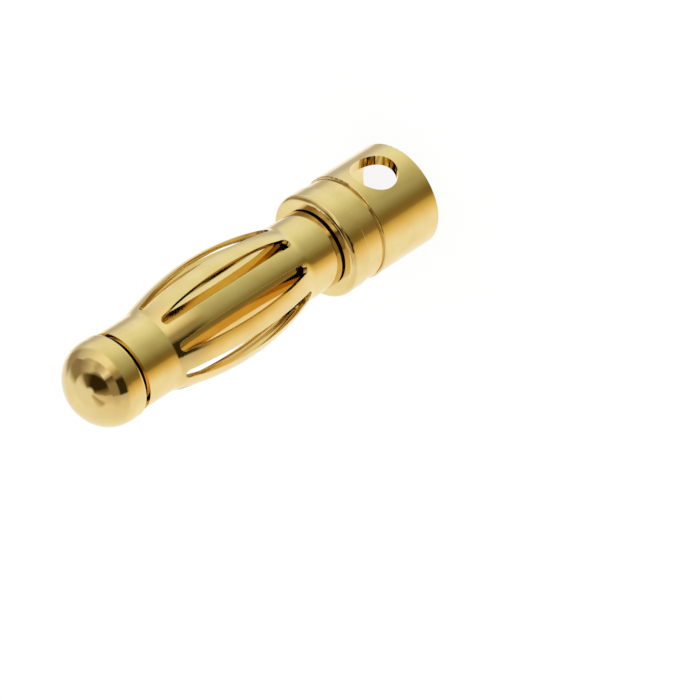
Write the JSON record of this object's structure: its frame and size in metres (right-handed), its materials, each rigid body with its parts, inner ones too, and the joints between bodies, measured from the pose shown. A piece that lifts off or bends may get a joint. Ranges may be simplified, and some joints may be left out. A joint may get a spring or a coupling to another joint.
{
  "type": "bullet connector plug",
  "caption": "Turned gold-plated plug with a domed tip, a slotted spring cage bowed round its core, a collar, and a drilled solder cup with a side hole.",
  "frame": {"origin": "centre of the solder cup's rim, the face the plug stands on", "axes": "+Z along the plug's axis towards the domed tip, -Y through the side hole of the solder cup, +X to the right seen from the side hole"},
  "size_m": [0.005, 0.005, 0.0197],
  "materials": {
    "plug_body": "polished gold plate over turned brass",
    "spring_cage": "polished gold plate over stamped spring sheet"
  },
  "bodies": {
    "root": {"plug_body": "plug_body", "spring_cage": "spring_cage"}
  },
  "joints": []
}
